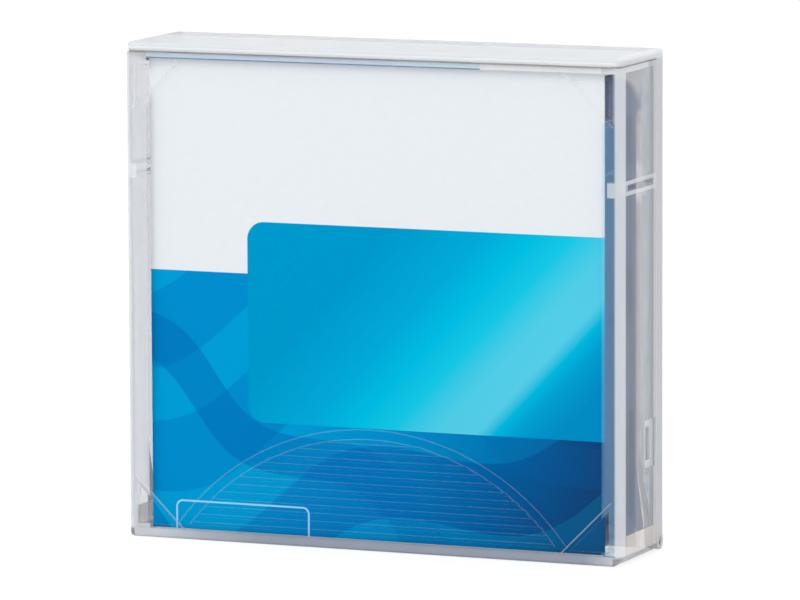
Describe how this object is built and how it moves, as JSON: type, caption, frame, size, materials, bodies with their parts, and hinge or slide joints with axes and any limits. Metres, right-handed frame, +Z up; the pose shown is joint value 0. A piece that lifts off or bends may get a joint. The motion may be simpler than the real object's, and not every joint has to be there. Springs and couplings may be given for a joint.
{
  "type": "data tape cartridge in its library case",
  "caption": "Half-inch single-reel data tape cartridge with a printed card, standing in a hinged translucent library case; sliding door, write-protect slide, braked reel.",
  "frame": {"origin": "centre of the closed case's footprint, on the surface that it stands on", "axes": "+X to the right as the card is read, +Y from the card's side to the back panel, +Z up"},
  "size_m": [0.115, 0.027, 0.1086],
  "materials": {
    "clear_case": "clear polypropylene, polished, faintly milky",
    "frosted_case": "translucent polypropylene with a fine frosted grain",
    "printed_card": "coated card, offset print in white, blue and cyan",
    "cartridge_shell": "moulded shell with a fine grain, dark slate blue",
    "screw_steel": "zinc-plated steel",
    "door_plastic": "moulded, dark grey",
    "spring_wire": "drawn spring steel",
    "pin_steel": "turned stainless steel",
    "clamp_plastic": "moulded, natural",
    "protect_plastic": "moulded, red",
    "chip_board": "green board with a black chip",
    "reel_plastic": "glass-filled, light grey",
    "flange_plastic": "translucent flange",
    "tape_film": "wound magnetic tape, dark brown",
    "brake_plastic": "moulded, white",
    "release_plastic": "moulded, dark grey"
  },
  "bodies": {
    "case_and_cartridge": {"case_front": "clear_case", "insert_card": "printed_card", "upper_shell": "cartridge_shell", "lower_shell": "cartridge_shell", "shell_screws": "screw_steel", "door_spring": "spring_wire", "leader_pin": "pin_steel", "leader_clamp": "clamp_plastic", "pin_clips": "spring_wire", "memory_chip": "chip_board", "tape_leader": "tape_film"},
    "case_lid": {"case_back": "frosted_case"},
    "door": {"access_door": "door_plastic"},
    "write_protect": {"write_protect_tab": "protect_plastic"},
    "reel": {"reel_hub": "reel_plastic", "reel_flange": "flange_plastic", "drive_plate": "pin_steel", "tape_pack": "tape_film"},
    "brake": {"brake_button": "brake_plastic", "brake_spring": "spring_wire"},
    "release": {"brake_release": "release_plastic"}
  },
  "joints": [
    {"name": "case_hinge", "type": "hinge", "parent": "case_and_cartridge", "child": "case_lid", "pos_m": [0, 0.0117, 0.0018], "axis": [-1, 0, 0], "range_deg": [0, 90]},
    {"name": "door_slide", "type": "slide", "parent": "case_and_cartridge", "child": "door", "axis": [0, 0, 1], "range_m": [0, 0.021], "stiffness_N_per_m": 20, "springref_m": -0.01, "deforming": ["door_spring"]},
    {"name": "protect_slide", "type": "slide", "parent": "case_and_cartridge", "child": "write_protect", "axis": [1, 0, 0], "range_m": [0, 0.0045]},
    {"name": "reel_spin", "type": "hinge", "parent": "case_and_cartridge", "child": "reel", "pos_m": [0, 0, 0.0535], "axis": [0, 1, 0], "continuous": true},
    {"name": "brake_slide", "type": "slide", "parent": "case_and_cartridge", "child": "brake", "axis": [0, -1, 0], "range_m": [0, 0.002], "stiffness_N_per_m": 400, "springref_m": -0.005, "deforming": ["brake_spring"]},
    {"name": "release_slide", "type": "slide", "parent": "reel", "child": "release", "axis": [0, -1, 0], "range_m": [0, 0.002]}
  ],
  "couplings": [
    {"joint": "release_slide", "follows": "brake_slide", "ratio": 1}
  ]
}
